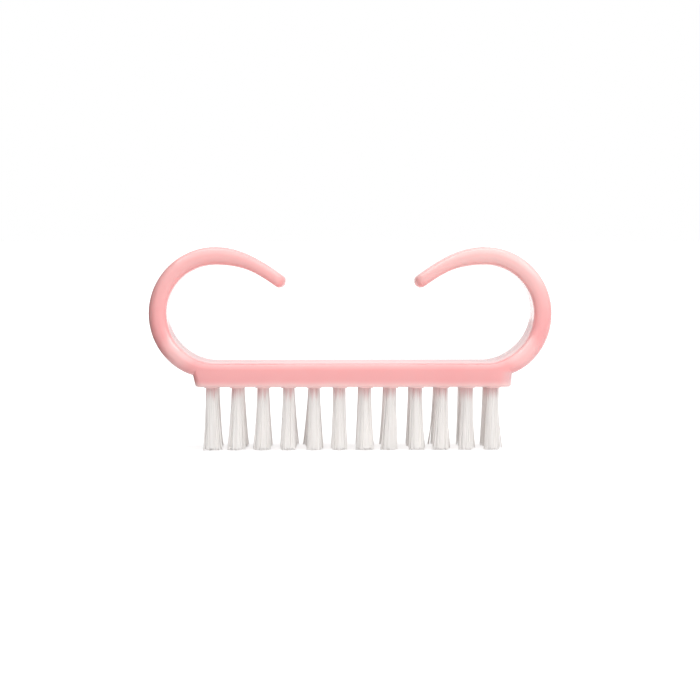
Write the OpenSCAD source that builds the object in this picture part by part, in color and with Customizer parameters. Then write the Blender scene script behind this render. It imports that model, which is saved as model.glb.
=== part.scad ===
// Nail brush: one moulded handle with two inward-curling horns, and bristle
// tufts that are folded over flat wire anchors and driven into blind holes.
// X runs along the brush, Y across it, Z up. The origin is at the middle of the
// bristle tips, on the surface that the brush stands on. Sizes in millimetres.

/* [Tuft field] */
// Tufts along the brush
tuft_columns = 12; // [6:1:12]
// Rows of tufts across the brush
tuft_rows = 4; // [2:1:4]
// Distance between tuft centres along the brush
column_pitch = 4.08; // [3.8:0.02:5]
// Distance between tuft centres across the brush
row_pitch = 3.3; // [3.2:0.1:4.5]
// From the middle of the horns to the middle of the tuft field
field_shift = 0.3; // [0:0.1:0.6]
// Diameter of each tuft hole
hole_d = 2.0; // [1.7:0.05:2.1]
// Depth of each tuft hole
hole_depth = 3.0; // [2.5:0.1:3.2]

/* [Bristles] */
// Free length of the bristles below the block
bristle_length = 10.15; // [6:0.05:16]
// Strands that stand for the filaments of one tuft
tuft_strands = 10; // [7:1:10]
// Thickness of a strand where it leaves the block
strand_root_d = 0.34; // [0.2:0.02:0.36]
// Thickness of a strand at its trimmed tip
strand_tip_d = 0.5; // [0.3:0.02:0.54]
// Spread of a tuft at its trimmed tips
tuft_tip_d = 2.6; // [2.4:0.1:2.8]
// How far the tips of a tuft may lean to one side
tuft_lean = 0.14; // [0:0.02:0.2]

/* [Anchors] */
// Length of an anchor, which bites into the wall on both sides of its hole
anchor_length = 2.7; // [2.5:0.1:2.9]
// Height of the anchor's flat wire
anchor_height = 1.1; // [0.8:0.1:1.3]
// Thickness of the anchor's flat wire
anchor_thickness = 0.35; // [0.2:0.05:0.5]
// Thickness of the folded filaments between an anchor and the floor of its hole
fold_thickness = 0.5; // [0.3:0.1:0.8]

/* [Block] */
// Height of the block under the strap
block_height = 1.35; // [1:0.05:3]
// From the centre of the first tuft to the left end of the block
left_margin = 2.55; // [2.5:0.05:5]
// From the centre of the last tuft to the right end of the block
right_margin = 3.2; // [2.5:0.05:5]
// From the centre of an outer row to the side of the block
side_margin = 1.95; // [1.85:0.05:4]
// How much further the left end reaches at the strap than at the underside
left_draft = 0.6; // [0.05:0.05:1]
// How much further the right end reaches at the strap than at the underside
right_draft = 0.1; // [0.05:0.05:1]
// How much further each side reaches at the strap than at the underside
side_draft = 0.25; // [0.1:0.05:0.6]
// Corner radius of the block, seen from above
corner_r = 1.5; // [1.2:0.1:3]
// Edge radius round the block's underside
underside_edge_r = 0.5; // [0.2:0.05:0.6]

/* [Strap] */
// Thickness of the strap along the bar
bar_thickness = 2.45; // [2.2:0.05:3.5]
// Edge radius of the strap along the bar
bar_edge_r = 1.1; // [0.6:0.05:1.3]
// Overhang of the strap's sides past the block
strap_overhang = 0.05; // [0.02:0.01:0.3]

/* [Horns] */
// Thickness of a horn
horn_thickness = 2.9; // [2.6:0.05:3.6]
// Edge radius of a horn
horn_edge_r = 1.4; // [0.8:0.05:1.5]
// From half the block's length back to where the horns start to curl
curl_inset = 3.625; // [2.625:0.1:5.025]
// Radius of the half circle from the bar up to the crown
curl_r = 9.1; // [8:0.1:12]
// Radius of the curl past its crown
neck_r = 13.9; // [11:0.1:16]
// Turn of the curl past its crown
neck_turn = 28; // [20:1:32]
// Radius of the last stretch before the tip
end_r = 27; // [20:1:40]
// Turn of the last stretch before the tip
end_turn = 8; // [4:1:12]
// Turn over which the strap swells into a horn
swell_turn = 45; // [30:1:60]
// Thickness of a horn where its tip starts to round off
tip_thickness = 2.1; // [1.6:0.1:2.6]
// Width of a horn where its tip starts to round off
tip_width = 4.8; // [4:0.1:8]
// Length over which a tip rounds off, seen from above
tip_round = 1.8; // [1.2:0.1:3]
// Length over which a tip rounds off, seen from the front
tip_nose = 1.0; // [0.6:0.1:1.5]

/* [Hidden] */
// Gap between a tuft, its anchor and the hole that holds them
fit_gap = 0.03;
// Overrun of every cut past the face that it opens
overrun = 0.5;
// How deep a strand is rooted in its tuft's bound root
strand_embed = 0.4;
// How far the block reaches up into the strap
block_lap = 1.15;
// Sides of a tuft hole
hole_sides = 32;
// Sides of a strand
strand_sides = 3;
// Turn from one strand to the next round the tuft
golden_turn = 137.508;
// Height of a strand's middle ring, as a share of its free length
bend_share = 0.45;
// How late a tuft flares on its way down
flare_power = 1.3;
// Turns that the row and the column add to a tuft's twist
twist_turns = [61, 83];
// Turns that they add to its lean, along and across the brush
lean_turns = [[97, 143], [71, 59]];
// Turn of the curl from the bar to its crown
crown_turn = 180;
// Points in each rounded edge of the strap's section
edge_points = 5;
// Points in each corner of the block's outline
corner_points = 7;
// Steps in the rounded edge of its underside
underside_steps = 3;
// Largest turn between two sections of the curl
section_turn = 7;
// Sections that round off a tip
tip_sections = 6;
// Share of its width that a horn's last section keeps
last_share = 0.12;
// How gently the horns start to narrow, as a share of their turn
narrow_start_share = 0.05;
// How the narrowing of the horns slows towards the tip
narrow_power = 1.5;
// Share of a section's thickness that its edge radius may take
edge_limit_share = 0.47;

field_length = (tuft_columns - 1) * column_pitch;
field_width = (tuft_rows - 1) * row_pitch;
block_length = field_length + left_margin + right_margin;
block_width = field_width + 2 * side_margin;
block_x = field_shift + (right_margin - left_margin) / 2;
strap_width = block_width + 2 * side_draft + 2 * strap_overhang;
block_z = bristle_length;
strap_z = block_z + block_height;
bar_top_z = strap_z + bar_thickness;
curl_x = block_length / 2 - curl_inset;
curl_z = strap_z + bar_thickness / 2;
anchor_z = block_z + hole_depth - fold_thickness - anchor_height;
tuft_root_d = hole_d - 2 * fit_gap;

// Radius and turn of each arc of the curl, from the bar to the tip
curl_arcs = [
    [curl_r, crown_turn],
    [neck_r, neck_turn],
    [end_r, end_turn]
];
full_turn = crown_turn + neck_turn + end_turn;

function row_y(row) = (row - (tuft_rows + 1) / 2) * row_pitch;
function column_x(column) = field_shift + (column - (tuft_columns + 1) / 2) * column_pitch;
function two_digits(n) = n < 10 ? str("0", n) : str(n);
function tuft_name(row, column) = str("tuft_r", row, "_c", two_digits(column));
function anchors_name(row) = str("anchors_row_", row);

// Closed solid through rings of points that all have the same count
module loft(rings) {
    count = len(rings[0]);
    last = (len(rings) - 1) * count;
    sides = [
        for (i = [0 : len(rings) - 2], k = [0 : count - 1])
            let (a = i * count + k, b = i * count + (k + 1) % count)
            each [[a, b + count, b], [a, a + count, b + count]]
    ];
    start = [for (k = [1 : count - 2]) [0, k, k + 1]];
    end = [for (k = [1 : count - 2]) [last, last + k + 1, last + k]];
    polyhedron(points = [for (ring = rings) each ring], faces = concat(start, sides, end));
}

// Outline of a rectangle with round corners, counter-clockwise, as [across, up] points
function round_outline(size_a, size_b, r, points) = [
    for (corner = [0 : 3], k = [0 : points - 1])
        let (
            turn = 90 * corner + 90 * k / (points - 1),
            side_a = corner == 0 || corner == 3 ? 1 : -1,
            side_b = corner < 2 ? 1 : -1
        )
        [
            side_a * (size_a / 2 - r) + r * cos(turn),
            side_b * (size_b / 2 - r) + r * sin(turn)
        ]
];

// Place and heading at the end of an arc that starts at [x, z, heading]
function along_arc(from, r, turn) = [
    from[0] + r * (sin(from[2] + turn) - sin(from[2])),
    from[1] + r * (cos(from[2]) - cos(from[2] + turn)),
    from[2] + turn
];

// Place and heading where arc number i of the curl starts
function arc_start(i) =
    i == 0 ? [curl_x, curl_z, 0]
    : along_arc(arc_start(i - 1), curl_arcs[i - 1][0], curl_arcs[i - 1][1]);

function smooth(share) = share * share * (3 - 2 * share);
function clamp_share(share) = max(0, min(1, share));

// Width of the strap and horn after a given turn of the curl
function width_at(turn) =
    let (
        share = turn / full_turn,
        eased = share * share / (share + narrow_start_share) * (1 + narrow_start_share)
    )
    tip_width + (strap_width - tip_width) * pow(1 - clamp_share(eased), narrow_power);

// Thickness of the strap and horn after a given turn of the curl
function thickness_at(turn) =
    bar_thickness
        + (horn_thickness - bar_thickness) * smooth(clamp_share(turn / swell_turn))
        + (tip_thickness - horn_thickness)
            * smooth(clamp_share((turn - crown_turn) / (full_turn - crown_turn)));

// Edge radius of the strap and horn after a given turn of the curl
function edge_at(turn) =
    bar_edge_r + (horn_edge_r - bar_edge_r) * smooth(clamp_share(turn / swell_turn));

// One section of the strap, square to the curl at [x, z, heading]
function section(place, width, thickness, edge) = [
    for (p = round_outline(width, thickness, min(edge, edge_limit_share * min(thickness, width)),
            edge_points))
        [place[0] - p[1] * sin(place[2]), p[0], place[1] + p[1] * cos(place[2])]
];

curl_sections = [
    for (i = [0 : len(curl_arcs) - 1])
        let (arc = curl_arcs[i], from = arc_start(i), steps = ceil(arc[1] / section_turn))
        for (k = [(i == 0 ? 0 : 1) : steps])
            let (place = along_arc(from, arc[0], arc[1] * k / steps))
            section(place, width_at(place[2]), thickness_at(place[2]), edge_at(place[2]))
];

tip_start = arc_start(len(curl_arcs));
tip_rings = [
    for (k = [1 : tip_sections])
        let (
            turn = 90 * k / tip_sections,
            ahead = tip_round * sin(turn),
            left = tip_round - ahead,
            place = [
                tip_start[0] + ahead * cos(tip_start[2]),
                tip_start[1] + ahead * sin(tip_start[2]),
                tip_start[2]
            ],
            nose = left < tip_nose ? sqrt(1 - pow(1 - left / tip_nose, 2)) : 1
        )
        section(place, tip_width * max(cos(turn), last_share),
            tip_thickness * max(nose, last_share), horn_edge_r)
];

right_sections = concat(curl_sections, tip_rings);
strap_sections = concat(
    [
        for (i = [len(right_sections) - 1 : -1 : 0])
            [for (p = right_sections[i]) [-p[0], p[1], p[2]]]
    ],
    right_sections
);

// Outline of the block at a rise above its underside, pulled in all round by an inset
function block_ring(rise, inset) =
    let (
        share = rise / block_height,
        left = left_draft * share - inset,
        right = right_draft * share - inset,
        side = side_draft * min(share, 1) - inset
    )
    [
        for (p = round_outline(block_length + left + right, block_width + 2 * side,
                corner_r - inset, corner_points))
            [block_x + (right - left) / 2 + p[0], p[1], block_z + rise]
    ];

// Place of the strap's side after a turn of the curl, seen from above
function strap_side(turn) =
    [curl_x + (curl_r + horn_thickness / 2) * sin(turn), width_at(turn) / 2];

// Room under the strap and the foot of both horns, which narrows as they do
module under_strap() {
    side = [for (turn = [0 : section_turn : swell_turn]) strap_side(turn)];
    back = [for (i = [len(side) - 1 : -1 : 0]) side[i]];
    translate([0, 0, block_z - overrun])
        linear_extrude(height = block_height + block_lap + 2 * overrun)
            polygon(concat(
                side,
                [for (p = back) [p[0], -p[1]]],
                [for (p = side) [-p[0], -p[1]]],
                [for (p = back) [-p[0], p[1]]]
            ));
}

module block() {
    intersection() {
        loft(concat(
            [
                for (k = [0 : underside_steps])
                    let (turn = 90 * k / underside_steps)
                    block_ring(underside_edge_r * (1 - cos(turn)),
                        underside_edge_r * (1 - sin(turn)))
            ],
            [block_ring(block_height, 0), block_ring(block_height + block_lap, 0)]
        ));
        under_strap();
    }
}

// Flat wire of one anchor, or the room for it when it is grown by a gap
module anchor_wire(gap) {
    translate([-anchor_length / 2 - gap, -anchor_thickness / 2 - gap, anchor_z - gap])
        cube([anchor_length + 2 * gap, anchor_thickness + 2 * gap, anchor_height + 2 * gap]);
}

module tuft_hole() {
    translate([0, 0, block_z - overrun])
        cylinder(h = hole_depth + overrun, d = hole_d, $fn = hole_sides);
    anchor_wire(fit_gap);
}

// The whole moulding: the strap with its two horns, and the block with its holes
module handle() {
    color([0.98, 0.68, 0.68])
        difference() {
            union() {
                loft(strap_sections);
                block();
            }
            for (row = [1 : tuft_rows], column = [1 : tuft_columns])
                translate([column_x(column), row_y(row), 0]) tuft_hole();
        }
}

// Centre of a strand, on a disc of radius 1
function strand_place(i) =
    sqrt((2 * i + 1) / (2 * tuft_strands)) * [cos(golden_turn * i), sin(golden_turn * i)];

// Ring of a strand at a drop below the block
function strand_ring(i, drop, lean, twist) =
    let (
        share = max(0, drop) / bristle_length,
        spread = pow(share, flare_power),
        root_reach = (tuft_root_d - strand_root_d) / 2,
        tip_reach = (tuft_tip_d - strand_tip_d) / 2,
        reach = root_reach + (tip_reach - root_reach) * spread,
        d = strand_root_d + (strand_tip_d - strand_root_d) * share,
        centre = reach * strand_place(i) + spread * lean
    )
    [
        for (k = [0 : strand_sides - 1])
            let (turn = twist + golden_turn * i - 360 * k / strand_sides)
            [centre[0] + d / 2 * cos(turn), centre[1] + d / 2 * sin(turn), block_z - drop]
    ];

// One tuft: the folded root that fills its hole, and the strands that leave it
module tuft(row, column) {
    place = [row, column];
    twist = twist_turns * place;
    lean = tuft_lean * [sin(lean_turns[0] * place), cos(lean_turns[1] * place)];
    color([0.93, 0.92, 0.9])
        translate([column_x(column), row_y(row), 0])
            union() {
                difference() {
                    translate([0, 0, block_z])
                        cylinder(h = hole_depth - fit_gap, d = tuft_root_d, $fn = hole_sides);
                    anchor_wire(fit_gap);
                }
                for (i = [0 : tuft_strands - 1])
                    loft([
                        strand_ring(i, -strand_embed, lean, twist),
                        strand_ring(i, bend_share * bristle_length, lean, twist),
                        strand_ring(i, bristle_length, lean, twist)
                    ]);
            }
}

// The anchors of one row, each a piece of flat wire across its hole
module anchors(row) {
    color([0.75, 0.76, 0.78])
        for (column = [1 : tuft_columns])
            translate([column_x(column), row_y(row), 0]) anchor_wire(0);
}

handle();
for (row = [1 : tuft_rows], column = [1 : tuft_columns])
    tuft(row, column);
for (row = [1 : tuft_rows])
    anchors(row);
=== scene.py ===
# %% [markdown]
# # A nail brush with two curled horns
#
# The brush is one pink moulding and a field of white nylon bristles. Its flat bar narrows at
# both ends into a horn that curls up and inwards, so that the whole handle is a spring-like
# loop for the fingers. A low block under the bar holds 48 tufts in four rows. Every tuft is a
# bundle of filaments, folded over a flat wire anchor and driven into its hole.
#
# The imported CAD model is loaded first. It fixes the size and place of everything, in metres,
# with the bristle tips on the floor at height 0.

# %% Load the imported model
import math
import random

import bmesh
import bpy
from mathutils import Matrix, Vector


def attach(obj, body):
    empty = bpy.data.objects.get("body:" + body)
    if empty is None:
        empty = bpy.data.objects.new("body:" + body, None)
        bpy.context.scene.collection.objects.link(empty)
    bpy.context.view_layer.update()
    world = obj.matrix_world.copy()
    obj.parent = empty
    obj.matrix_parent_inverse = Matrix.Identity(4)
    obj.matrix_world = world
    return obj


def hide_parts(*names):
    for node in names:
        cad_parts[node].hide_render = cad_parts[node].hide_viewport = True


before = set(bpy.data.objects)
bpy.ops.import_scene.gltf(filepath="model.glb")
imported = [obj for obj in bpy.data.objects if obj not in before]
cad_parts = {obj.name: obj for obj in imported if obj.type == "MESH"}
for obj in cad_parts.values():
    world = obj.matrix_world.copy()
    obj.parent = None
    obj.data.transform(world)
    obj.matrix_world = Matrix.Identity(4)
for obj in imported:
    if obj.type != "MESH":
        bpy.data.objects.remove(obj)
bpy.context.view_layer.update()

print("CAD nodes:", len(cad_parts))

# %% [markdown]
# ## The camera
#
# The photograph looks straight at the long side of the brush, from a little above and a hair
# to the left. How much smaller the rear tufts look than the front ones tells how far away the
# camera stood: about 38 cm. That is set first, so that every test render shows the piece from
# where it will be compared.

# %% Place the camera
CAMERA_AZIMUTH = math.radians(-1.2)
CAMERA_ELEVATION = math.radians(2.68)
CAMERA_DISTANCE = 0.380
CAMERA_ANGLE = math.radians(16.91)
CAMERA_AIM = Vector((0, 0, 0.01575))


def direction(azimuth, elevation):
    """Unit vector from the object towards a place at this azimuth and elevation, in radians."""
    level = math.cos(elevation)
    return Vector((
        math.sin(azimuth) * level,
        -math.cos(azimuth) * level,
        math.sin(elevation),
    ))


def looking_from(way):
    """Rotation of a camera or lamp that stands out along way and looks back at the object."""
    return way.to_track_quat("Z", "Y").to_euler()


towards_camera = direction(CAMERA_AZIMUTH, CAMERA_ELEVATION)
bpy.ops.object.camera_add(
    location=CAMERA_AIM + towards_camera * CAMERA_DISTANCE,
    rotation=looking_from(towards_camera),
)
camera = bpy.context.object
camera.name = "camera"
camera.data.sensor_fit = "HORIZONTAL"
camera.data.angle = CAMERA_ANGLE
bpy.context.scene.camera = camera
print("Camera stands at", tuple(round(v, 4) for v in camera.location))

# %% [markdown]
# ## The sizes of the handle
#
# The handle follows the same drawing as the CAD model. Seen from the front it is one line:
# straight along the bar, then half a circle up to the crown of the horn, then two gentler
# arcs down to the tip. Along that line the strap gets narrower and changes its thickness.

# %% Sizes of the bar, the horns and the block
MM = 0.001

strap_width = 14.4 * MM
bar_thickness = 2.45 * MM
bar_edge = 1.1 * MM
bar_middle_z = 12.725 * MM
curl_start_x = 21.69 * MM

horn_thickness = 2.9 * MM
horn_edge = 1.4 * MM
tip_width = 4.8 * MM
tip_thickness = 2.1 * MM
tip_round = 1.8 * MM
tip_nose = 1.0 * MM

# Radius, turn in degrees and number of steps of each arc, from the bar to the tip.
curl_arcs = [
    (9.1 * MM, 180, 40),
    (13.9 * MM, 28, 8),
    (27.0 * MM, 8, 3),
]
crown_turn = 180
full_turn = 216
swell_turn = 45

field_middle_x = 0.3 * MM
block_left_x = -24.69 * MM
block_right_x = 25.55 * MM
block_width = 13.8 * MM
block_z = 10.15 * MM
block_corner = 1.5 * MM

print("Bar top at", round((bar_middle_z + bar_thickness / 2) / MM, 2), "mm")

# %% [markdown]
# ## Laws of the strap
#
# A section is a rectangle with round edges. Three small functions say how wide, how thick and
# how round it is after a given turn of the curl. Keeping them apart from the modelling makes it
# easy to try another taper.

# %% Width, thickness and edge radius along the curl
# The delay keeps the strap wide at first, and the power makes it slim towards its tip.
taper_delay = 0.05
taper_power = 1.5


def clamped(share):
    return max(0.0, min(1.0, share))


def smooth(share):
    share = clamped(share)
    return share * share * (3 - 2 * share)


def width_at(turn):
    share = turn / full_turn
    taper = share * share / (share + taper_delay) * (1 + taper_delay)
    return tip_width + (strap_width - tip_width) * (1 - clamped(taper)) ** taper_power


def thickness_at(turn):
    swell = (horn_thickness - bar_thickness) * smooth(turn / swell_turn)
    past_crown = (turn - crown_turn) / (full_turn - crown_turn)
    return bar_thickness + swell + (tip_thickness - horn_thickness) * smooth(past_crown)


def edge_at(turn):
    return bar_edge + (horn_edge - bar_edge) * smooth(turn / swell_turn)


for turn in (0, 90, crown_turn, full_turn):
    print(turn, "degrees:", round(width_at(turn) / MM, 2), "mm wide,",
          round(thickness_at(turn) / MM, 2), "mm thick")

# %% [markdown]
# ## Small helpers for edit mode
#
# Loading the frame leaves all its nodes selected, so everything is deselected before a new
# piece is touched. In edit mode the faces, edges or points to work on are chosen by their place.

# %% Edit mode helpers
# Places closer together than this, in metres, count as the same.
hair = 1e-6


def select_only(piece):
    bpy.ops.object.select_all(action="DESELECT")
    piece.select_set(True)
    bpy.context.view_layer.objects.active = piece


def edit(piece):
    """Enters edit mode on a piece."""
    select_only(piece)
    bpy.ops.object.mode_set(mode="EDIT")


def stop_editing():
    bpy.ops.object.mode_set(mode="OBJECT")


def choose(piece, kind, test):
    """Selects only those points, edges or faces of a piece in edit mode that pass a test."""
    mesh = bmesh.from_edit_mesh(piece.data)
    bpy.ops.mesh.select_mode(type={"verts": "VERT", "edges": "EDGE", "faces": "FACE"}[kind])
    bpy.ops.mesh.select_all(action="DESELECT")
    for part in getattr(mesh, kind):
        if test(part):
            part.select = True
    mesh.select_flush_mode()
    bmesh.update_edit_mesh(piece.data)


def cut_through(piece, place, way):
    """Cuts a piece in edit mode along the plane through a place, square to a way."""
    choose(piece, "faces", lambda face: True)
    bpy.ops.mesh.bisect(plane_co=place, plane_no=way)


def near(a, b):
    return abs(a - b) < hair


def middle(part):
    """Middle of an edge or a face."""
    return sum((vert.co for vert in part.verts), Vector()) / len(part.verts)


def apply_modifier(piece, kind, **settings):
    """Adds a modifier with these settings and applies it."""
    select_only(piece)
    modifier = piece.modifiers.new(kind.lower(), kind)
    for name, value in settings.items():
        setattr(modifier, name, value)
    bpy.ops.object.modifier_apply(modifier=modifier.name)


def add_block(name, lowest, highest):
    """A cube primitive that fills the space between two corners, its place in its mesh."""
    lowest, highest = Vector(lowest), Vector(highest)
    bpy.ops.object.select_all(action="DESELECT")
    bpy.ops.mesh.primitive_cube_add(size=1, location=(lowest + highest) / 2)
    piece = bpy.context.object
    piece.name = piece.data.name = name
    piece.scale = highest - lowest
    bpy.ops.object.transform_apply(location=True, rotation=True, scale=True)
    return piece


# %% [markdown]
# ## The strap, half at a time
#
# The bar and both horns are one continuous strap. Half of it is enough, because a Mirror
# modifier makes the other half. It starts as a cube as long as half the bar. Its four long
# edges are bevelled round, and two pairs of cuts along its middle leave room for the parting
# line, the fine ridge that the two halves of the mould leave on every such handle.

# %% Start the strap from a cube
ridge_half = 0.06 * MM
ridge_foot = 0.13 * MM
ridge_height = 0.025 * MM

strap = add_block(
    "handle_moulding",
    (0, -strap_width / 2, bar_middle_z - bar_thickness / 2),
    (curl_start_x, strap_width / 2, bar_middle_z + bar_thickness / 2),
)
edit(strap)
choose(strap, "faces", lambda face: near(middle(face).x, 0))
bpy.ops.mesh.delete(type="FACE")
choose(strap, "edges", lambda edge: near(middle(edge).x, curl_start_x / 2))
bpy.ops.mesh.bevel(offset=bar_edge, segments=10, affect="EDGES")
choose(strap, "edges", lambda edge: near(middle(edge).x, curl_start_x / 2))
bpy.ops.mesh.subdivide(number_cuts=9)
for cut_y in (-ridge_foot, -ridge_half, ridge_half, ridge_foot):
    cut_through(strap, (0, cut_y, 0), (0, 1, 0))
stop_editing()
print("Section of the strap:", sum(near(v.co.x, 0) for v in strap.data.vertices), "points")

# %% [markdown]
# ## Each section remembers where it belongs
#
# While the horn is drawn out, every new section is a copy of the last one. To give it its own
# width and thickness, each point keeps its place across and up in the first section, as two
# attributes that an extrusion copies along. The flat parts of the section and its round edges
# are then stretched each on their own, so that the edges stay round.

# %% Keep each point's place in the section
# An edge radius is at most this share of the thinner side of its section.
roundest_share = 0.45
# Points that lie right on a line of the ridge count as inside it.
just_past = 1.01

section_across = strap.data.attributes.new("across", "FLOAT", "POINT")
section_up = strap.data.attributes.new("up", "FLOAT", "POINT")
for number, vert in enumerate(strap.data.vertices):
    section_across.data[number].value = vert.co.y
    section_up.data[number].value = vert.co.z - bar_middle_z


def stretched(value, half, edge, new_half, new_edge):
    """Moves a value of a rounded section to where it lies in a section of another size."""
    flat = half - edge
    if abs(value) <= flat:
        return value * (new_half - new_edge) / flat
    return math.copysign(new_half - new_edge + (abs(value) - flat) * new_edge / edge, value)


def shape_section(piece, place, heading, width, thickness, edge):
    """Puts the selected points on a section of this size, square to the curl at place."""
    mesh = bmesh.from_edit_mesh(piece.data)
    across = mesh.verts.layers.float["across"]
    up = mesh.verts.layers.float["up"]
    edge = min(edge, roundest_share * min(width, thickness))
    outwards = Vector((-math.sin(heading), 0, math.cos(heading)))
    for vert in mesh.verts:
        if not vert.select:
            continue
        side, rise = vert[across], vert[up]
        half = thickness / 2 - ridge_height
        new_rise = stretched(rise, bar_thickness / 2, bar_edge, half, edge)
        if abs(side) <= ridge_half * just_past:
            new_rise += math.copysign(ridge_height, rise)
        if abs(side) > ridge_foot * just_past:
            side = stretched(side, strap_width / 2, bar_edge, width / 2, edge)
        vert.co = place + outwards * new_rise + Vector((0, side, 0))
    bmesh.update_edit_mesh(piece.data)


edit(strap)
for x in sorted({round(v.co.x, 7) for v in strap.data.vertices}):
    choose(strap, "verts", lambda vert: near(vert.co.x, x))
    shape_section(strap, Vector((x, 0, bar_middle_z)), 0, strap_width, bar_thickness, bar_edge)
stop_editing()
print("The parting line stands", ridge_height / MM, "mm proud")

# %% [markdown]
# ## Draw out the horn
#
# Now the end of the bar is extruded a step at a time and each new section is turned about the
# middle of its arc, which is what the Spin tool does, but with a stop at each step to narrow
# it. The last few sections shrink quickly and round off the tip.

# %% Extrude the horn along its arcs
facing_share = 0.99


def end_faces(piece, place, heading):
    """Selects the faces that close the strap at this place of the curl."""
    along = Vector((math.cos(heading), 0, math.sin(heading)))
    choose(piece, "faces", lambda face: near((middle(face) - place).dot(along), 0)
           and abs(face.normal.dot(along)) > facing_share)


place = Vector((curl_start_x, 0, bar_middle_z))
heading = 0.0
edit(strap)
end_faces(strap, place, heading)
for radius, arc_turn, steps in curl_arcs:
    arc_middle = place + radius * Vector((-math.sin(heading), 0, math.cos(heading)))
    for step in range(steps):
        heading += math.radians(arc_turn / steps)
        place = arc_middle + radius * Vector((math.sin(heading), 0, -math.cos(heading)))
        turn = math.degrees(heading)
        bpy.ops.mesh.extrude_region_move()
        shape_section(strap, place, heading, width_at(turn), thickness_at(turn), edge_at(turn))
crown_height = max(v.co.z for v in bmesh.from_edit_mesh(strap.data).verts)
print("Crown of the horn at", round(crown_height / MM, 2), "mm")

# %% Round off the tip
tip_steps = 9
tip_last_share = 0.12
along = Vector((math.cos(heading), 0, math.sin(heading)))
for step in range(1, tip_steps + 1):
    slope = math.radians(90 * step / tip_steps)
    ahead = tip_round * math.sin(slope)
    left = (tip_round - ahead) / tip_nose
    nose = math.sqrt(1 - (1 - left) ** 2) if left < 1 else 1
    bpy.ops.mesh.extrude_region_move()
    shape_section(
        strap,
        place + along * ahead,
        heading,
        tip_width * max(math.cos(slope), tip_last_share),
        tip_thickness * max(nose, tip_last_share),
        horn_edge,
    )
stop_editing()
apply_modifier(strap, "MIRROR", use_axis=(True, False, False), merge_threshold=hair)
edit(strap)
choose(strap, "faces", lambda face: True)
bpy.ops.mesh.normals_make_consistent(inside=False)
stop_editing()
print("Strap from", round(min(v.co.x for v in strap.data.vertices) / MM, 2), "to",
      round(max(v.co.x for v in strap.data.vertices) / MM, 2), "mm")

# %% [markdown]
# ## The block that holds the tufts
#
# The block is a shallow bar under the strap with round corners. Its left end and its sides
# lean outwards towards the strap, the draft that lets a moulding leave its mould, while its
# right end is nearly upright. It is a cube that is cut at a few heights, whose levels are
# resized one by one, and whose corners and lower edge are bevelled round.

# %% Model the block
strap_bottom_z = 11.5 * MM
flush_z = 12.6 * MM
block_top_z = 12.9 * MM
block_middle_x = (block_left_x + block_right_x) / 2
block_length = block_right_x - block_left_x
block_edge = 0.35 * MM
# Height of a level, and how much further its left end, right end and sides reach.
block_levels = [
    (strap_bottom_z, 0.28 * MM, 0.1 * MM, 0.25 * MM),
    (flush_z, 0.5 * MM, 0.18 * MM, 0.297 * MM),
    (block_top_z, 0.5 * MM, 0.1 * MM, 0.15 * MM),
]

block = add_block(
    "block",
    (block_left_x, -block_width / 2, block_z),
    (block_right_x, block_width / 2, block_top_z),
)


def resize_level(piece, height, left, right, side):
    """Makes a level of the block longer at its left and right end and wider on each side."""
    choose(piece, "verts", lambda vert: near(vert.co.z, height))
    bpy.ops.transform.resize(
        value=(1 + (left + right) / block_length, 1 + 2 * side / block_width, 1),
        center_override=(block_middle_x, 0, height),
    )
    bpy.ops.transform.translate(value=((right - left) / 2, 0, 0))


edit(block)
for cut_z in (strap_bottom_z, flush_z):
    cut_through(block, (0, 0, cut_z), (0, 0, 1))
for height, left, right, side in block_levels:
    resize_level(block, height, left, right, side)
shortest_upright = 0.1 * MM
choose(block, "edges",
       lambda edge: abs(edge.verts[0].co.z - edge.verts[1].co.z) > shortest_upright)
bpy.ops.mesh.bevel(offset=block_corner, segments=12, affect="EDGES")
choose(block, "edges", lambda edge: all(near(vert.co.z, block_z) for vert in edge.verts))
bpy.ops.mesh.bevel(offset=block_edge, segments=6, affect="EDGES")
print("Block:", len(bmesh.from_edit_mesh(block.data).faces), "faces")

# %% [markdown]
# ## The sides of the block follow the strap
#
# Past the bar the strap already narrows into the horns, and the block under it narrows with
# it. The block is cut across near both ends, and every point that would stand out past the
# side of the strap is drawn in to it.

# %% Draw the ends of the block in
# Number of cuts at each end past the first, and their distance in millimetres.
end_cuts = 8
end_cut_step = 0.45
tucked_in = 0.003 * MM


def half_width_over(x):
    """Half the width of the strap above a place along the block."""
    past = max(0.0, abs(x) - curl_start_x)
    turn = math.degrees(math.asin(past / (curl_arcs[0][0] + horn_thickness / 2)))
    return width_at(turn) / 2


# The cut where the curl starts, number 0, comes last.
for number in (*range(1, end_cuts + 1), 0):
    cut_x = curl_start_x + number * end_cut_step * MM
    for side in (-1, 1):
        cut_through(block, (side * cut_x, 0, 0), (1, 0, 0))
drawn_in = 0
for vert in bmesh.from_edit_mesh(block.data).verts:
    limit = half_width_over(vert.co.x) - tucked_in
    if abs(vert.co.y) > limit:
        vert.co.y = math.copysign(limit, vert.co.y)
        drawn_in += 1
bmesh.update_edit_mesh(block.data)
stop_editing()
print("Points drawn in at the ends:", drawn_in)

# %% [markdown]
# ## Join the block to the strap
#
# Block and strap are one shot of plastic, so a Boolean modifier makes them one closed skin.

# %% Unite strap and block
apply_modifier(strap, "BOOLEAN", operation="UNION", object=block, solver="MANIFOLD")
bpy.data.objects.remove(block)
print("Handle without holes:", len(strap.data.polygons), "faces")

# %% [markdown]
# ## A lip round every hole
#
# When a tuft and its anchor are driven in, the soft plastic swells round the mouth of the hole.
# In the photograph the foot of the block hangs a little lower at every tuft. One such lip is a
# short cylinder with a rounded lower edge. It is copied to the 48 places and joined to the block.

# %% One lip, copied to every hole
columns, rows = 12, 4
column_pitch, row_pitch = 4.08 * MM, 3.3 * MM
lip_radius = 1.24 * MM
lip_height = 0.2 * MM
lip_edge = 0.16 * MM
lip_inside_block = 0.2 * MM


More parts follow.
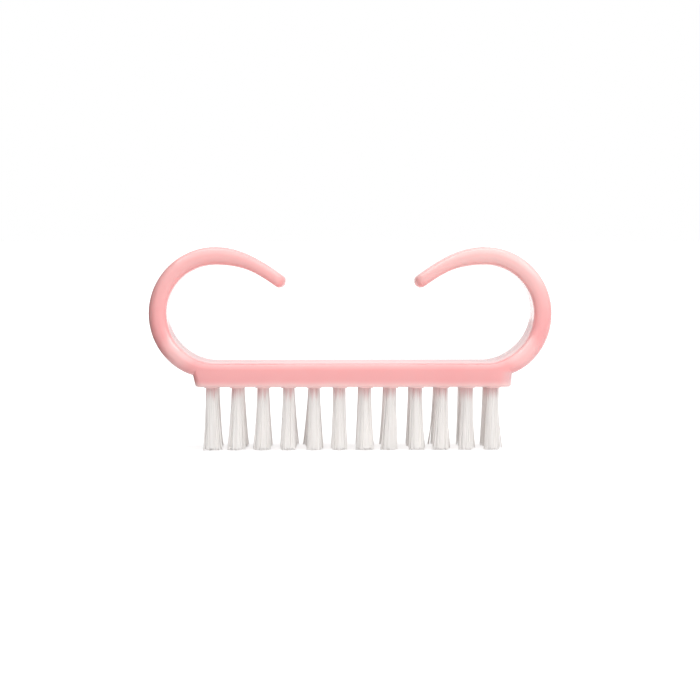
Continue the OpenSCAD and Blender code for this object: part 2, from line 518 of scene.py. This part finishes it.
def tuft_place(row, column):
    """Centre of a tuft, counted from 1: rows from the front, columns from the left."""
    return Vector((
        field_middle_x + (column - (columns + 1) / 2) * column_pitch,
        (row - (rows + 1) / 2) * row_pitch,
        0,
    ))


def add_cylinder(name, radius, low_z, high_z):
    """A cylinder primitive between two heights, its place in its mesh."""
    bpy.ops.object.select_all(action="DESELECT")
    bpy.ops.mesh.primitive_cylinder_add(
        vertices=32,
        radius=radius,
        depth=high_z - low_z,
        location=(0, 0, (high_z + low_z) / 2),
    )
    piece = bpy.context.object
    piece.name = piece.data.name = name
    bpy.ops.object.transform_apply(location=True, rotation=True, scale=True)
    return piece


def copied_to_tufts(piece):
    """Puts a copy of a piece at every tuft, joins the copies and removes the first."""
    copies = []
    for row in range(1, rows + 1):
        for column in range(1, columns + 1):
            copy = piece.copy()
            copy.data = piece.data.copy()
            copy.location = tuft_place(row, column)
            bpy.context.collection.objects.link(copy)
            copies.append(copy)
    bpy.data.objects.remove(piece)
    select_only(copies[0])
    for copy in copies:
        copy.select_set(True)
    bpy.ops.object.join()
    return bpy.context.object


lip_low_z = block_z - lip_height
lip = add_cylinder("lip", lip_radius, lip_low_z, block_z + lip_inside_block)
edit(lip)
choose(lip, "edges", lambda edge: all(near(vert.co.z, lip_low_z) for vert in edge.verts))
bpy.ops.mesh.bevel(offset=lip_edge, segments=4, affect="EDGES")
stop_editing()
all_lips = copied_to_tufts(lip)
apply_modifier(strap, "BOOLEAN", operation="UNION", object=all_lips, solver="MANIFOLD")
bpy.data.objects.remove(all_lips)
print("Handle with", rows * columns, "lips:", len(strap.data.polygons), "faces")

# %% [markdown]
# ## The holes
#
# Each tuft sits in a drilled hole. The hole has a small chamfer at its mouth, and a slot that
# the flat anchor wire has cut into its wall on both sides. One such cutter is made from a
# cylinder and a cube, and copied to the 48 places. Another Boolean takes them all away.

# %% One cutter, copied to every hole
hole_radius = 1.0 * MM
hole_floor_z = 13.15 * MM
mouth_chamfer = 0.06 * MM
cutter_below_lip = 0.5 * MM
anchor_half_length, anchor_half_thickness = 1.38 * MM, 0.205 * MM
anchor_low_z, anchor_high_z = 11.52 * MM, 12.68 * MM

cutter = add_cylinder("hole_cutter", hole_radius, lip_low_z - cutter_below_lip, hole_floor_z)
edit(cutter)
for cut_z in (lip_low_z, lip_low_z + mouth_chamfer):
    cut_through(cutter, (0, 0, cut_z), (0, 0, 1))
choose(cutter, "verts", lambda vert: vert.co.z < lip_low_z + hair)
mouth_growth = 1 + mouth_chamfer / hole_radius
bpy.ops.transform.resize(value=(mouth_growth, mouth_growth, 1), center_override=(0, 0, lip_low_z))
stop_editing()

slot_cutter = add_block(
    "slot_cutter",
    (-anchor_half_length, -anchor_half_thickness, anchor_low_z),
    (anchor_half_length, anchor_half_thickness, anchor_high_z),
)
apply_modifier(cutter, "BOOLEAN", operation="UNION", object=slot_cutter, solver="MANIFOLD")
bpy.data.objects.remove(slot_cutter)
all_cutters = copied_to_tufts(cutter)
apply_modifier(strap, "BOOLEAN", operation="DIFFERENCE", object=all_cutters, solver="MANIFOLD")
bpy.data.objects.remove(all_cutters)
print("Handle with", rows * columns, "holes:", len(strap.data.polygons), "faces")

# %% [markdown]
# ## Shade the handle smooth
#
# Faces that meet at a small angle are shaded as one surface. Weighted normals keep the large
# flat faces flat, so that the round edges beside them don't bleed into them.

# %% Smooth shading
edit(strap)
choose(strap, "verts", lambda vert: True)
bpy.ops.mesh.remove_doubles(threshold=hair)
stop_editing()
for name in ("across", "up"):
    strap.data.attributes.remove(strap.data.attributes[name])
select_only(strap)
bpy.ops.object.shade_smooth_by_angle(angle=math.radians(32))
apply_modifier(strap, "WEIGHTED_NORMAL", keep_sharp=True, weight=50)
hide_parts("handle")
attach(strap, "root")
print("Handle:", len(strap.data.polygons), "faces")

# %% [markdown]
# ## One filament
#
# A filament of this brush is a nylon thread about 0.2 mm thick, folded in two over its anchor.
# A curve with a round bevel is the natural way to draw such a thread: its points say where it
# runs, and the bevel gives it its thickness. All filaments of a tuft are the strokes of one
# curve, which is then made a mesh.
#
# Seen from below, the legs of a tuft fill a disc evenly. Placing each next leg a golden angle
# further round the disc does that without any two touching.

# %% Where the legs of a tuft stand
filament_radius = 0.1 * MM
folds = 26
bundle_radius = 0.86 * MM
golden_angle = math.radians(137.508)


def bundle_legs(twist):
    """Places of the legs of one tuft at the mouth of its hole, as pairs that share a fold."""
    legs = []
    for number in range(2 * folds):
        reach = bundle_radius * math.sqrt((number + 0.5) / (2 * folds))
        turn = number * golden_angle + twist
        legs.append(Vector((reach * math.cos(turn), reach * math.sin(turn), 0)))
    legs.sort(key=lambda leg: leg.y)
    front = sorted(legs[:folds], key=lambda leg: leg.x)
    back = sorted(legs[folds:], key=lambda leg: leg.x)
    return list(zip(front, back))


print("Filaments in a tuft:", folds, "folded, so", 2 * folds, "tips")

# %% [markdown]
# ## How a tuft stands open
#
# Below the block the filaments spread. The photograph shows each front tuft with a habit of
# its own: most flare evenly, a few lean, and some let single filaments stray. The lists say how
# far the tips of each front tuft reach to the left and right of its centre. Tufts further back
# show only at the edges, and get habits drawn from a seeded random source. Four of them get a
# further lean.

# %% Habits of the tufts
# Reach of the tips left and right of the tuft's centre line, front row, in millimetres.
front_left = [1.28, 1.62, 1.50, 1.34, 1.18, 1.40, 1.60, 1.64, 1.24, 1.55, 1.35, 1.48]
front_right = [1.62, 1.12, 1.16, 1.10, 1.25, 1.12, 1.38, 1.05, 1.25, 1.08, 0.90, 0.86]
spread_power = 1.3
# Tufts behind, in millimetres: reach of the tips, lean to a side and to the back, further lean.
rear_reach = (1.2, 1.35)
most_lean, most_back = 0.25, 0.15
further_lean = {(4, 2): 0.35, (4, 4): 0.5, (4, 5): -0.45, (3, 10): -0.2}

random.seed(12)


def tuft_habit(row, column):
    """Reach of the tips left and right, and how far they lean to the back, in metres."""
    if row == 1:
        return front_left[column - 1] * MM, front_right[column - 1] * MM, 0.0
    lean = random.uniform(-most_lean, most_lean)
    lean += further_lean.get((row, column), 0)
    reach = random.uniform(*rear_reach)
    back = random.uniform(-most_back, most_back)
    return (reach - lean) * MM, (reach + lean) * MM, back * MM


def leg_points(leg, habit, stray, tip_z):
    """Points of one leg from its tip up to the mouth of the hole."""
    left, right, back = habit
    share_x = leg.x / bundle_radius
    tip_x = (right - left) / 2 + share_x * (right + left) / 2
    tip_y = back + leg.y / bundle_radius * (right + left) / 2
    points = []
    for share in leg_shares:
        spread = share ** spread_power
        x = leg.x + (tip_x - leg.x + stray.x * share) * spread
        y = leg.y + (tip_y - leg.y + stray.y * share) * spread
        points.append(Vector((x, y, block_z + (tip_z - block_z) * share)))
    return points


# %% [markdown]
# ## The fold over the anchor
#
# Inside the hole the two legs run up on either side of the flat wire and meet in a small arch
# above it. Nobody sees that on the finished brush, but it is what holds the bristles.

# %% Draw one folded filament
leg_shares = (1.0, 0.8, 0.55, 0.28, 0.0)
points_of_path = 2 * len(leg_shares) + 5
anchor_side = 0.30 * MM
side_share = 0.45
fold_z = anchor_high_z + 0.12 * MM
bend_z = anchor_high_z - 0.1 * MM


def squeezed(leg, side):
    """Where a leg runs beside the anchor: pushed clear of the wire, to its own side."""
    return Vector((leg.x, side * (anchor_side + abs(leg.y) * side_share), 0))


def filament_path(front, back, habit, strays, tips):
    """Points of one filament: up its front leg, over the anchor and down its back leg."""
    front_in, back_in = squeezed(front, -1), squeezed(back, 1)
    fold_x = (front.x + back.x) / 2
    path = leg_points(front, habit, strays[0], tips[0])
    path.append(Vector((front_in.x, front_in.y, anchor_low_z)))
    path.append(Vector((front_in.x, front_in.y, bend_z)))
    path.append(Vector((fold_x, 0, fold_z)))
    path.append(Vector((back_in.x, back_in.y, bend_z)))
    path.append(Vector((back_in.x, back_in.y, anchor_low_z)))
    path.extend(reversed(leg_points(back, habit, strays[1], tips[1])))
    return path


# %% [markdown]
# ## The heart of a tuft
#
# Between the outer filaments one sees more of the same nylon, never right through the tuft. A
# slim tapered column in the middle of each tuft stands for the filaments that are too deep to
# tell apart. It is one more stroke of the same curve, made thick by the radius of its points.

# %% Make a tuft
heart_share = 0.91
heart_shares = (0.96, 0.75, 0.5, 0.25, 0.0)
# How far tips stray sideways and how uneven they are in height, in millimetres.
wide_stray, usual_stray = 0.30, 0.09
wide_stray_share = 0.08
uneven_tips = 0.16


def add_heart(curve, centre, habit):
    """One thick stroke down the middle of a tuft, from its tips up to the hole."""
    left, right, back = habit
    stroke = curve.splines.new("POLY")
    stroke.points.add(len(heart_shares) - 1)
    for number, share in enumerate(heart_shares):
        spread = share ** spread_power
        reach = bundle_radius + ((right + left) / 2 - bundle_radius) * spread
        place = Vector(((right - left) / 2 * spread, back * spread, block_z * (1 - share)))
        place = centre + place
        stroke.points[number].co = (*place, 1)
        stroke.points[number].radius = heart_share * reach / filament_radius


def make_tuft(row, column):
    """One tuft of folded filaments in the place of its CAD node."""
    habit = tuft_habit(row, column)
    name = f"bristles_r{row}_c{column:02d}"
    curve = bpy.data.curves.new(name, "CURVE")
    curve.dimensions = "3D"
    curve.bevel_depth = filament_radius
    curve.bevel_resolution = 1
    curve.use_fill_caps = True
    centre = tuft_place(row, column)
    for front, back in bundle_legs(random.uniform(0, math.tau)):
        strays, tips = [], []
        for side in range(2):
            stray = wide_stray if random.random() < wide_stray_share else usual_stray
            strays.append(Vector((random.gauss(0, stray), random.gauss(0, stray), 0)) * MM)
            tips.append(random.uniform(0.0, uneven_tips) * MM)
        path = filament_path(front, back, habit, strays, tips)
        stroke = curve.splines.new("POLY")
        stroke.points.add(len(path) - 1)
        for number, point in enumerate(path):
            stroke.points[number].co = (*(centre + point), 1)
    add_heart(curve, centre, habit)
    piece = bpy.data.objects.new(name, curve)
    bpy.context.collection.objects.link(piece)
    select_only(piece)
    bpy.ops.object.convert(target="MESH")
    bpy.ops.object.shade_smooth_by_angle(angle=math.radians(60))
    return bpy.context.object


tufts = {}
for row in range(1, rows + 1):
    for column in range(1, columns + 1):
        piece = make_tuft(row, column)
        tufts[row, column] = piece
        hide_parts(f"tuft_r{row}_c{column:02d}")
        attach(piece, "root")
print("A tuft has", len(tufts[1, 1].data.polygons), "faces and",
      len(tufts[1, 1].data.vertices), "points")

# %% [markdown]
# ## Cut the tips flat
#
# After tufting, the whole field is trimmed to one height. Each tip is cut level, whatever way
# its filament leans.

# %% Level the tips
points_round = len(tufts[1, 1].data.vertices) // (folds * points_of_path + len(heart_shares))
points_per_filament = points_of_path * points_round
for piece in tufts.values():
    for vert in piece.data.vertices:
        vert.co.z = max(vert.co.z, 0.0)
print("Points in one filament:", points_per_filament)

# %% [markdown]
# ## Writing shaders as sums
#
# A material is a tree of nodes, and most of its nodes do plain arithmetic. The class below
# wraps the output of a node, so that `noise * 0.1 + 0.3` adds the two Math nodes by itself.


# %% Shader maths
class Wire:
    """The output of a node, which can be added to, multiplied and so on."""

    def __init__(self, tree, socket):
        self.tree = tree
        self.socket = socket

    def maths(self, operation, first, second):
        return node(self.tree, "ShaderNodeMath", {"operation": operation}, {0: first, 1: second})

    def __add__(self, other):
        return self.maths("ADD", self, other)

    def __sub__(self, other):
        return self.maths("SUBTRACT", self, other)

    def __mul__(self, other):
        return self.maths("MULTIPLY", self, other)

    def __rsub__(self, other):
        return self.maths("SUBTRACT", other, self)

    __radd__ = __add__
    __rmul__ = __mul__


def node(tree, kind, settings, sockets, output=0):
    """Adds a node, sets it, links or sets its inputs, and returns one of its outputs."""
    made = tree.nodes.new(kind)
    for name, value in settings.items():
        setattr(made, name, value)
    by_identifier = {socket.identifier: socket for socket in made.inputs}
    for name, value in sockets.items():
        target = by_identifier.get(name) or made.inputs[name]
        if isinstance(value, Wire):
            tree.links.new(value.socket, target)
        else:
            target.default_value = value
    return Wire(tree, made.outputs[output])


def mix(tree, factor, first, second):
    """A colour between two colours."""
    return node(tree, "ShaderNodeMix", {"data_type": "RGBA"},
                {"Factor_Float": factor, "A_Color": first, "B_Color": second}, 2)


def new_material(name):
    """A material with a Principled shader. Returns the material, its tree and the shader."""
    material = bpy.data.materials.new(name)
    material.use_nodes = True
    tree = material.node_tree
    tree.nodes.clear()
    shader = tree.nodes.new("ShaderNodeBsdfPrincipled")
    output = tree.nodes.new("ShaderNodeOutputMaterial")
    tree.links.new(shader.outputs["BSDF"], output.inputs["Surface"])
    return material, tree, shader


def feed(shader, name, wire):
    wire.tree.links.new(wire.socket, shader.inputs[name])


def set_inputs(shader, values):
    for name, value in values.items():
        shader.inputs[name].default_value = value


def dress(piece, material):
    """Gives a piece this material alone."""
    piece.data.materials.clear()
    piece.data.materials.append(material)


def grey(level):
    return (level, level, level, 1)


def noise(tree, where, scale, detail=2.0, roughness=0.5):
    return node(tree, "ShaderNodeTexNoise", {},
                {"Vector": where, "Scale": scale, "Detail": detail, "Roughness": roughness}, "Fac")


def scaled_place(tree, factors):
    """Object coordinates, stretched along the axes to draw a pattern out."""
    where = node(tree, "ShaderNodeTexCoord", {}, {}, "Object")
    return node(tree, "ShaderNodeMapping", {}, {"Vector": where, "Scale": factors})


def eased(tree, value, start, end, low=0.0, high=1.0):
    """Goes gently from low to high while the value goes from start to end."""
    return node(tree, "ShaderNodeMapRange", {"interpolation_type": "SMOOTHSTEP"}, {
        "Value": value,
        "From Min": start,
        "From Max": end,
        "To Min": low,
        "To Max": high,
    })


def object_place(tree, axis):
    """One object coordinate of the surface, along this axis."""
    where = node(tree, "ShaderNodeTexCoord", {}, {}, "Object")
    return node(tree, "ShaderNodeSeparateXYZ", {}, {"Vector": where}, axis)


def bump(tree, strength, depth, relief):
    return node(tree, "ShaderNodeBump", {},
                {"Strength": strength, "Distance": depth, "Height": relief})


# %% [markdown]
# ## The pink plastic
#
# The handle is a soft pink polypropylene with a little light passing into it. Its colour isn't
# quite even: the pigment drifts in slow clouds and in faint streaks along the way the plastic
# flowed. Light is painted into it too: a painted highlight on the crowns of the horns, more so
# on the right, and where the horns leave the bar; painted light from the table along the foot
# of the block, round the tuft holes; and a painted greyish reflection on the right end of the
# block. The surface is smooth but not a mirror, with a very fine grain and handling marks that
# show only in its gloss.

# %% Pink plastic
PINK = (0.90, 0.42, 0.415, 1)
PINK_DEEP = (0.87, 0.365, 0.37, 1)
# Painted highlight colour, for the crowns of the horns.
PINK_PAINTED_HIGHLIGHT = (0.94, 0.57, 0.55, 1)
# Painted light colour, for the roots of the horns and the foot of the block.
PINK_PAINTED_LIGHT = (0.95, 0.66, 0.64, 1)
# Painted reflection colour, for the right end of the block.
PINK_PAINTED_REFLECTION = (0.78, 0.50, 0.51, 1)

plastic, tree, shader = new_material("pink_plastic")
plain = scaled_place(tree, (1, 1, 1))
streaked = scaled_place(tree, (0.12, 1, 1))
clouds = noise(tree, plain, 110, 3)
streaks = noise(tree, streaked, 900, 2)
grain = noise(tree, plain, 9000, 2)
marks = noise(tree, scaled_place(tree, (0.25, 1, 0.6)), 1600, 4, 0.65)

pigment = mix(tree, clouds * 0.7 + streaks * 0.3, PINK, PINK_DEEP)
sideways = object_place(tree, "X")
height = object_place(tree, "Z")
# Painted highlight: the crowns of the horns are painted paler, more so on the right, where light
# falls on them.
crown_highlight = eased(tree, height + (clouds - 0.5) * (4 * MM), 18 * MM, 31 * MM)
highlight_to_right = eased(tree, sideways, -20 * MM, 25 * MM, 0.45, 0.95)
pigment = mix(tree, crown_highlight * highlight_to_right, pigment, PINK_PAINTED_HIGHLIGHT)

# Painted highlight: where the horns leave the bar, the plastic is painted paler.
root_x, root_z, root_reach = 27.3 * MM, 16.0 * MM, 3.4 * MM
from_root_x = sideways.maths("ABSOLUTE", sideways, 0.0) - root_x
from_root_z = height - root_z
from_root_squared = from_root_x * from_root_x + from_root_z * from_root_z
root_highlight = eased(tree, from_root_squared, root_reach ** 2, 0.0, 0.0, 0.45)
pigment = mix(tree, root_highlight, pigment, PINK_PAINTED_LIGHT)

# Painted reflection: below the strap, the rounded right end of the block is painted a greyish pale
# pink.
right_end_reflection = eased(tree, sideways + (clouds - 0.5) * MM, 23.4 * MM, 25.2 * MM, 0.0, 0.7)
under_strap = eased(tree, height, 12.9 * MM, 12.3 * MM)
pigment = mix(tree, right_end_reflection * under_strap, pigment, PINK_PAINTED_REFLECTION)
# Painted light: the foot of the block is painted paler towards its underside, for the light that
# the table throws up at it.
foot_painted_light = eased(tree, height + (clouds - 0.5) * (0.6 * MM), 11.3 * MM, 10.1 * MM, 0.0, 0.85)
feed(shader, "Base Color", mix(tree, foot_painted_light, pigment, PINK_PAINTED_LIGHT))
feed(shader, "Roughness", clouds * 0.03 + marks * 0.03 + 0.12)
feed(shader, "Normal", bump(tree, 0.25, 0.02 * MM, grain * 0.3 + streaks * 0.7))
set_inputs(shader, {
    "Subsurface Weight": 0.2,
    "Subsurface Radius": (1.0, 0.45, 0.4),
    "Subsurface Scale": 0.8 * MM,
    "IOR": 1.49,
})
dress(strap, plastic)
print("Plastic nodes:", len(tree.nodes))

# %% [markdown]
# ## The nylon
#
# Nylon filament is milky white and slightly see-through. No two filaments of a tuft catch the
# light alike, so each gets a shade of its own, kept as an attribute of its points. Just under
# the block the filaments are painted darker and pinker: painted shade, and painted pink light
# thrown down from the block.

# %% White nylon
NYLON = (0.87, 0.845, 0.825, 1)
NYLON_SHADE = (0.83, 0.80, 0.78, 1)
# Painted shade colour, darker and pinker, for the nylon just under the block.
NYLON_PAINTED_SHADE = (0.72, 0.47, 0.47, 1)

random.seed(5)
for piece in tufts.values():
    shade = piece.data.attributes.new("shade", "FLOAT", "POINT")
    for filament in range(folds):
        value = random.random()
        for number in range(filament * points_per_filament, (filament + 1) * points_per_filament):
            shade.data[number].value = value

nylon, tree, shader = new_material("bristle_nylon")
plain = scaled_place(tree, (1, 1, 1))
shade = node(tree, "ShaderNodeAttribute", {"attribute_name": "shade"}, {}, "Fac")
drawn = noise(tree, scaled_place(tree, (1, 1, 0.04)), 12000, 2)
clouds = noise(tree, plain, 700, 2)
thread = mix(tree, shade * 0.5 + clouds * 0.3, NYLON, NYLON_SHADE)
height = object_place(tree, "Z")
# Painted shade and painted pink light: the filaments are painted darker and pinker just under the
# block.
painted_root_shade = eased(tree, height + (shade - 0.5) * MM, 7.7 * MM, 10.2 * MM, 0.0, 0.9)
feed(shader, "Base Color", mix(tree, painted_root_shade, thread, NYLON_PAINTED_SHADE))
feed(shader, "Roughness", shade * 0.12 + drawn * 0.1 + 0.42)
feed(shader, "Normal", bump(tree, 0.3, 0.01 * MM, drawn))
set_inputs(shader, {
    "Subsurface Weight": 0.3,
    "Subsurface Radius": (1.0, 0.97, 0.95),
    "Subsurface Scale": 0.3 * MM,
    "IOR": 1.53,
})
for piece in tufts.values():
    dress(piece, nylon)
print("Nylon nodes:", len(tree.nodes))

# %% [markdown]
# ## The anchor wire
#
# The anchors keep their CAD shape: 48 short pieces of flat wire, one across each hole. They
# get a drawn metal finish, with fine lines along the wire.

# %% Anchor wire
WIRE = (0.72, 0.70, 0.66, 1)
WIRE_DARK = (0.52, 0.50, 0.47, 1)

metal, tree, shader = new_material("anchor_metal")
lines = noise(tree, scaled_place(tree, (0.05, 1, 1)), 9000, 3)
stains = noise(tree, scaled_place(tree, (1, 1, 1)), 900, 3)
feed(shader, "Base Color", mix(tree, stains * 0.6 + lines * 0.2, WIRE, WIRE_DARK))
feed(shader, "Roughness", lines * 0.2 + stains * 0.1 + 0.25)
feed(shader, "Normal", bump(tree, 0.3, 0.01 * MM, lines))
set_inputs(shader, {"Metallic": 1.0})
for row in range(1, rows + 1):
    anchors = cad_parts[f"anchors_row_{row}"]
    for material_slot in anchors.material_slots:
        material_slot.material = metal
print("Anchor nodes:", len(tree.nodes))

# %% [markdown]
# ## The floor and the world
#
# The brush stands on a white table. Only the camera, reflections and light that passes through
# a piece see the table and the world as white. Everything else sees a mid grey table and a dim
# world, so that they throw little light back and the plastic keeps its shading.

# %% Floor
BLACK, WHITE = grey(0), grey(1)
FLOOR_SEEN = grey(0.68)


def ray_kinds(tree):
    """The camera's own rays, mirrored rays and rays that pass through a piece."""
    path = tree.nodes.new("ShaderNodeLightPath")
    names = ("Is Camera Ray", "Is Glossy Ray", "Is Transmission Ray")
    return [Wire(tree, path.outputs[name]) for name in names]


def either(first, second):
    return first.maths("MAXIMUM", first, second)


bpy.ops.object.select_all(action="DESELECT")
bpy.ops.mesh.primitive_plane_add(size=60, location=(0, 0, 0))
floor = bpy.context.object
floor.name = "floor"

table_white, tree, shader = new_material("table_white")
speckle = noise(tree, scaled_place(tree, (1, 1, 1)), 40, 2)
feed(shader, "Base Color", mix(tree, speckle, grey(0.50), grey(0.53)))
straight, mirrored, passing = ray_kinds(tree)
glow = mix(tree, either(mirrored, passing), BLACK, WHITE)
feed(shader, "Emission Color", mix(tree, straight, glow, FLOOR_SEEN))
set_inputs(shader, {"Roughness": 0.9, "Specular IOR Level": 0.1, "Emission Strength": 1.0})
dress(floor, table_white)
print("Floor nodes:", len(tree.nodes))

# %% World
WORLD_LIGHT = grey(0.2)

world = bpy.data.worlds.new("studio")
bpy.context.scene.world = world
world.use_nodes = True
tree = world.node_tree
tree.nodes.clear()
straight, mirrored, passing = ray_kinds(tree)
seen = either(straight, either(mirrored, passing))
background = tree.nodes.new("ShaderNodeBackground")
feed(background, "Color", mix(tree, seen, WORLD_LIGHT, WHITE))
world_output = tree.nodes.new("ShaderNodeOutputWorld")
tree.links.new(background.outputs["Background"], world_output.inputs["Surface"])
print("World nodes:", len(tree.nodes))

# %% [markdown]
# ## A dark card
#
# A photographer stands a dark card beside a shiny piece, so that its edge stays dark against a
# white background. This one stands to the left of the left horn. The camera doesn't see it and
# it casts no shadow.

# %% Card
card_size = 60 * MM
card_place = (-48 * MM, 4 * MM, 31 * MM)
upright = (0, math.radians(90), 0)

card_black, tree, shader = new_material("card_black")
paper = noise(tree, scaled_place(tree, (1, 1, 1)), 60)
feed(shader, "Base Color", mix(tree, paper, grey(0.03), grey(0.05)))
set_inputs(shader, {"Roughness": 0.9})

bpy.ops.object.select_all(action="DESELECT")
bpy.ops.mesh.primitive_plane_add(size=card_size, location=card_place, rotation=upright)
card = bpy.context.object
card.name = "left_card"
dress(card, card_black)
card.visible_camera = False
card.visible_shadow = False
print("Card stands at x =", round(card.location.x / MM), "mm")

# %% [markdown]
# ## The lamps
#
# A broad soft lamp stands high in front and gives the upper sides of the plastic their bright
# band. A lamp on each side draws the edges of the horns, and a small one above and behind
# lights the top of the bar. Two fills cast no shadow: they stand for the light that the white
# table throws back in front and for the light that passes through the nylon from behind.


# %% Lamps
def add_sun(name, azimuth, elevation, strength, softness):
    """A soft distant lamp that shines on the object from this azimuth and elevation."""
    way = direction(math.radians(azimuth), math.radians(elevation))
    bpy.ops.object.light_add(type="SUN", location=way, rotation=looking_from(way))
    lamp = bpy.context.object
    lamp.name = lamp.data.name = name
    lamp.data.energy = strength
    lamp.data.angle = math.radians(softness)
    return lamp


add_sun("key_lamp", 72, 45, 0.85, 30)
add_sun("left_lamp", -70, 55, 0.65, 30)
add_sun("high_lamp", 5, 66, 1.55, 80)
add_sun("top_lamp", 180, 80, 0.45, 36)
for name, azimuth, elevation, strength in (
    ("front_fill", 20, -12, 1.1),
    ("back_fill", 180, 10, 0.7),
):
    fill = add_sun(name, azimuth, elevation, strength, 20)
    fill.data.use_shadow = False
    fill.visible_glossy = False

bpy.context.scene.view_settings.view_transform = "Standard"
lamps = [thing.name for thing in bpy.data.objects if thing.type == "LIGHT"]
print("Lamps:", ", ".join(lamps))
